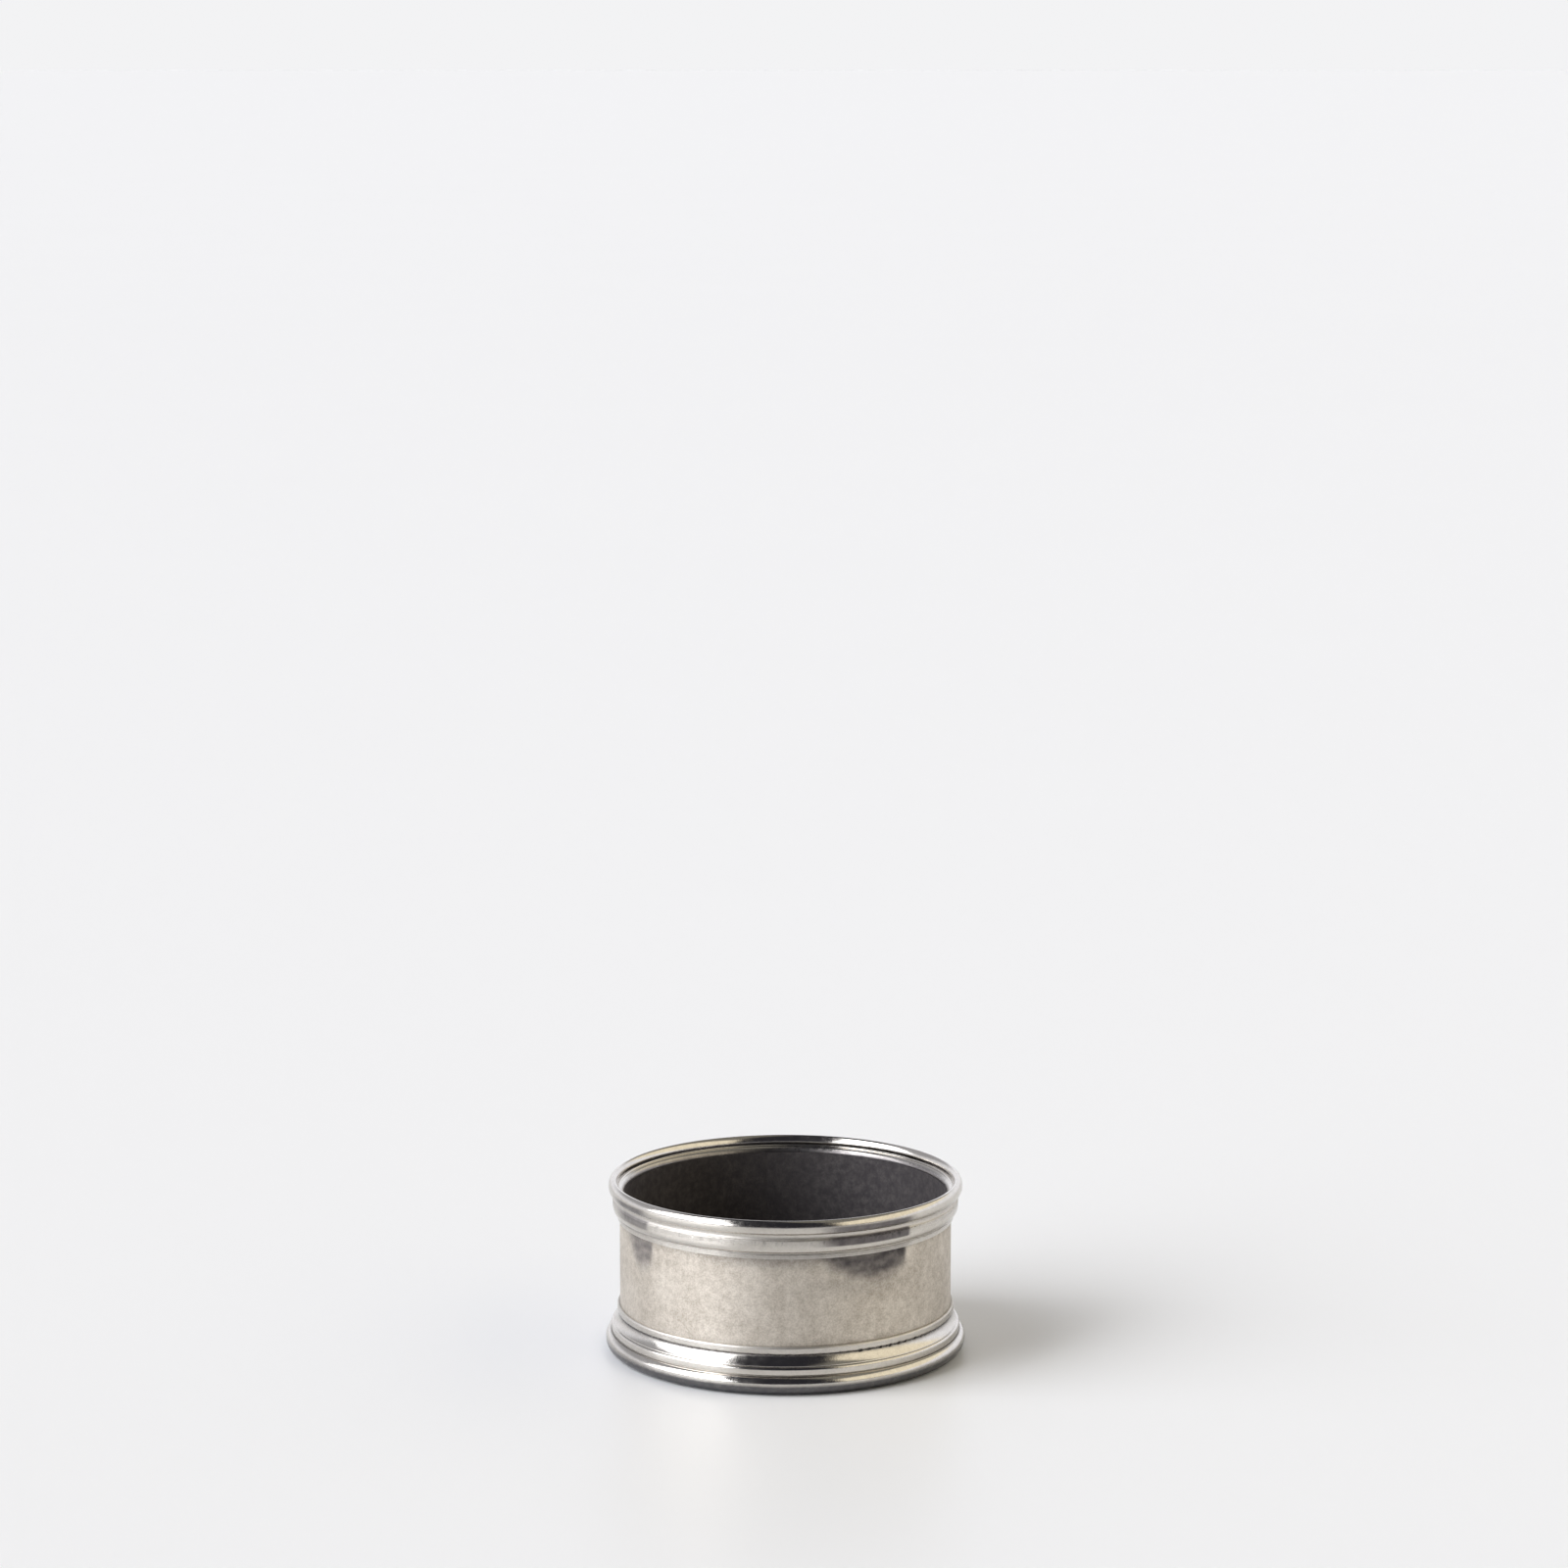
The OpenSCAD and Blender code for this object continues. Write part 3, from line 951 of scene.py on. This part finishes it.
def pewter(name, colour, shade, rough, mottle, ring_bump):
    """Worn pewter: cloudy colour, fine specks, turning lines, oxide and grime in the corners, painted shade
    and painted dark reflections.
    """
    made, tree, shader = new_material(name)
    place = tree.nodes.new("ShaderNodeTexCoord").outputs["Object"]
    clouds = noise_at(tree, place, *CLOUDS)
    blots = noise_at(tree, place, *BLOTS)
    grain = noise_at(tree, place, *GRAIN)
    # Tarnish with painted shade and painted dark reflections, the slate band, and dirt with painted shade
    tarnish_and_painted_dark = maths(tree, "MULTIPLY", mark(tree, "patina"), ramp_of(tree, blots, *TARNISH_AND_SHADE_BREAK))
    slate = maths(tree, "MULTIPLY", mark(tree, "slate"), ramp_of(tree, blots, *SLATE_BREAK))
    dirt_and_shade = maths(tree, "MULTIPLY", mark(tree, "crevice"), ramp_of(tree, grain, *DIRT_AND_SHADE_BREAK))
    tone = pewter_tone(tree, clouds, blots, grain, mottle)
    base = blend_colour(tree, tone, rgb(*colour), rgb(*shade))
    base = blend_colour(tree, maths(tree, "MULTIPLY", tarnish_and_painted_dark, PATINA_AND_SHADE_COVER), base, rgb(*PATINA_AND_SHADE_COLOUR))
    base = blend_colour(tree, slate, base, rgb(*SLATE))
    base = blend_colour(tree, dirt_and_shade, base, rgb(*DIRT_AND_SHADE))
    tree.links.new(base, shader.inputs["Base Color"])
    shader.inputs["Metallic"].default_value = 1.0
    level = pewter_roughness(tree, rough, blots, maths(tree, "MAXIMUM", tarnish_and_painted_dark, slate), dirt_and_shade)
    tree.links.new(level, shader.inputs["Roughness"])
    tree.links.new(pewter_relief(tree, place, grain, ring_bump), shader.inputs["Normal"])
    return made


def felt_material():
    """Dark green wool felt: matted fibres of slightly different greens."""
    made, tree, shader = new_material("felt")
    place = tree.nodes.new("ShaderNodeTexCoord").outputs["Object"]
    fibres = noise_at(tree, place, *FIBRES)
    clouds = noise_at(tree, place, *FELT_CLOUDS)
    base = blend_colour(tree, ramp_of(tree, fibres, *FIBRE_TONE), rgb(*DARK_FIBRE), rgb(*LIGHT_FIBRE))
    base = blend_colour(tree, ramp_of(tree, clouds, *FELT_CLOUD_TONE), base, rgb(*FELT_GREEN))
    tree.links.new(base, shader.inputs["Base Color"])
    shader.inputs["Roughness"].default_value = FELT_ROUGHNESS
    shader.inputs["Sheen Weight"].default_value = FELT_SHEEN
    nap = put(tree, "ShaderNodeBump", {"Strength": NAP_BUMP, "Distance": NAP_DEPTH, "Height": fibres})
    tree.links.new(nap.outputs[0], shader.inputs["Normal"])
    return made


# The studio


# The floor: its tone and how far that varies, its noise, its finish, and its half width in metres
FLOOR_TONE = 0.87
FLOOR_CLOUDS = 0.005
FLOOR_NOISE = (3.0, 2.0, 0.55)
FLOOR_ROUGHNESS = 0.42
FLOOR_GLOSS = 0.6
FLOOR_HALF_W = 40.0

# What the camera sees past the floor, and what the metal sees where there is no soft area
BACKGROUND = (0.895, 0.895, 0.905)
STUDIO_GREY = (0.5, 0.505, 0.54)

# The pale horizon: its colour, the elevations where it fades out, and how softly it ends at the sides
HORIZON = (1.08, 1.08, 1.14)
HORIZON_LOW = 3.0
HORIZON_HIGH = 11.0
HORIZON_SOFT = 30.0

# Soft areas of the studio. Azimuth 0 is the camera's side and 90 is the right, in degrees.
# Each has its colour, its lowest elevation, its softness, and the edges that it lies within.
# An edge is a plane through the middle, given by the azimuth and elevation of the side it keeps.
DARK_FRONT = ((0.03, 0.03, 0.038), 4, 3.0, ((0, 60), (60, 35)))
DIM_RIGHT = ((0.28, 0.27, 0.24), 6, 4.0, ((126, 0), (86, 0)))
WARM_RIGHT = ((1.28, 1.17, 0.93), 6, 4.0, ((126, 0), (60, 0), (88, -38)))
LOW_BACK_LEFT = ((1.0, 1.02, 1.1), -9, 6.0, ((-145, -70),))
LOW_BACK_RIGHT = ((1.2, 1.22, 1.3), -9, 6.0, ((155, -65),))
LEFT_PANEL = ((5.25, 5.35, 5.6), 9, 2.5, ((-121, -18), (-7, 0)))
BRIGHT_PANEL = ((7.7, 7.8, 8.1), 9, 6.0, ((-123, -20), (28, 0)))

# The areas from the first laid to the last, which covers the others
AREAS = (DARK_FRONT, DIM_RIGHT, WARM_RIGHT, LOW_BACK_LEFT, LOW_BACK_RIGHT, LEFT_PANEL, BRIGHT_PANEL)


def grey(tone):
    """A neutral colour."""
    return rgb(tone, tone, tone)


def floor_material():
    """Pale matt card, very slightly uneven in tone."""
    made, tree, shader = new_material("studio_floor")
    place = tree.nodes.new("ShaderNodeTexCoord").outputs["Object"]
    clouds = noise_at(tree, place, *FLOOR_NOISE)
    darker = grey(FLOOR_TONE * (1 - FLOOR_CLOUDS))
    lighter = grey(FLOOR_TONE * (1 + FLOOR_CLOUDS))
    tree.links.new(blend_colour(tree, clouds, darker, lighter), shader.inputs["Base Color"])
    shader.inputs["Roughness"].default_value = FLOOR_ROUGHNESS
    shader.inputs["Specular IOR Level"].default_value = FLOOR_GLOSS
    return made


def studio_floor():
    """The floor that the coaster stands on, as far as the camera sees."""
    mesh = bpy.data.meshes.new("studio_floor")
    w = FLOOR_HALF_W
    mesh.from_pydata([(-w, -w, 0), (w, -w, 0), (w, w, 0), (-w, w, 0)], [], [(0, 1, 2, 3)])
    mesh.materials.append(floor_material())
    made = bpy.data.objects.new("studio_floor", mesh)
    bpy.context.scene.collection.objects.link(made)


def within(tree, value, limit, soft):
    """0 well below the limit and 1 well above it."""
    return ramp_of(tree, value, limit - soft, limit + soft)


def edge(tree, way, azimuth, elevation, soft):
    """1 on the side of a plane through the middle that faces this way, with a soft edge."""
    a = math.radians(azimuth)
    e = math.radians(elevation)
    facing = (math.cos(e) * math.sin(a), -math.cos(e) * math.cos(a), math.sin(e))
    side = put(tree, "ShaderNodeVectorMath", {0: way, 1: facing}, operation="DOT_PRODUCT").outputs["Value"]
    return within(tree, side, 0.0, math.sin(math.radians(soft)))


def studio_world():
    """The studio round the floor: grey, with its soft areas, and a pale band low down at the back."""
    world = bpy.data.worlds.new("studio")
    bpy.context.scene.world = world
    world.use_nodes = True
    tree = world.node_tree
    tree.nodes.clear()
    way = tree.nodes.new("ShaderNodeTexCoord").outputs["Generated"]
    up = put(tree, "ShaderNodeSeparateXYZ", {0: way}).outputs[2]
    elevation = maths(tree, "MULTIPLY", maths(tree, "ARCSINE", up), 180 / math.pi)
    colour = rgb(*STUDIO_GREY)
    for tint, lowest, soft, edges in AREAS:
        inside = within(tree, elevation, lowest, soft)
        for azimuth, lift in edges:
            inside = maths(tree, "MULTIPLY", inside, edge(tree, way, azimuth, lift, soft))
        colour = blend_colour(tree, inside, colour, rgb(*tint))
    low = ramp_of(tree, elevation, HORIZON_LOW, HORIZON_HIGH, 1.0, 0.0)
    front = edge(tree, way, 0, 0, HORIZON_SOFT)
    low = maths(tree, "MULTIPLY", low, maths(tree, "SUBTRACT", 1.0, front))
    colour = blend_colour(tree, low, colour, rgb(*HORIZON))
    seen = tree.nodes.new("ShaderNodeLightPath").outputs["Is Camera Ray"]
    colour = blend_colour(tree, seen, colour, rgb(*BACKGROUND))
    light = put(tree, "ShaderNodeBackground", {"Color": colour, "Strength": 1.0})
    out = tree.nodes.new("ShaderNodeOutputWorld")
    tree.links.new(light.outputs[0], out.inputs["Surface"])


# The camera: its place in metres, its tilt below the horizon in degrees, and its lens and sensor in mm
CAMERA_AT = (-0.00038, -1.2178, 0.36264)
CAMERA_TILT = 9.5
LENS = 103.5
SENSOR_W = 36.0


def camera():
    """The photo's view: level across, tilted down, looking towards +Y."""
    data = bpy.data.cameras.new("camera")
    data.lens = LENS
    data.sensor_width = SENSOR_W
    data.sensor_fit = "HORIZONTAL"
    data.clip_start = 0.01
    data.clip_end = 200.0
    made = bpy.data.objects.new("camera", data)
    made.location = CAMERA_AT
    made.rotation_euler = Euler((math.radians(90 - CAMERA_TILT), 0, 0))
    bpy.context.scene.collection.objects.link(made)
    bpy.context.scene.camera = made


# Everything together


def build():
    """All seven pieces in their places."""
    polished = pewter("pewter_moulding", *POLISHED)
    satin = pewter("pewter_sheet", *SATIN)
    dull = pewter("pewter_floor", *DULL)
    lip = turned("lip", lip_profile(), RING_COLUMNS, shape_lip)
    finished(lip, "lip_moulding", polished)
    collar = turned("collar", collar_profile(), RING_COLUMNS, shape_collar)
    finished(collar, "collar_band", polished)
    wall = turned("drum_wall", wall_profile(), DRUM_COLUMNS, shape_wall)
    finished(wall, "wall_band", satin)
    bead = turned("bead", bead_profile(), RING_COLUMNS, shape_bead)
    finished(bead, "foot_bead", polished)
    foot = turned("foot", foot_profile(), RING_COLUMNS, shape_foot)
    finished(foot, "foot_moulding", polished)
    floor = turned("floor", floor_profile(), DRUM_COLUMNS, shape_floor, closed=False)
    finished(floor, "floor_plate", dull)
    felt = turned("felt", felt_profile(), DRUM_COLUMNS, shape_felt, closed=False)
    finished(felt, "felt_pad", felt_material())


build()
studio_floor()
studio_world()
camera()
bpy.context.scene.view_settings.view_transform = "Standard"
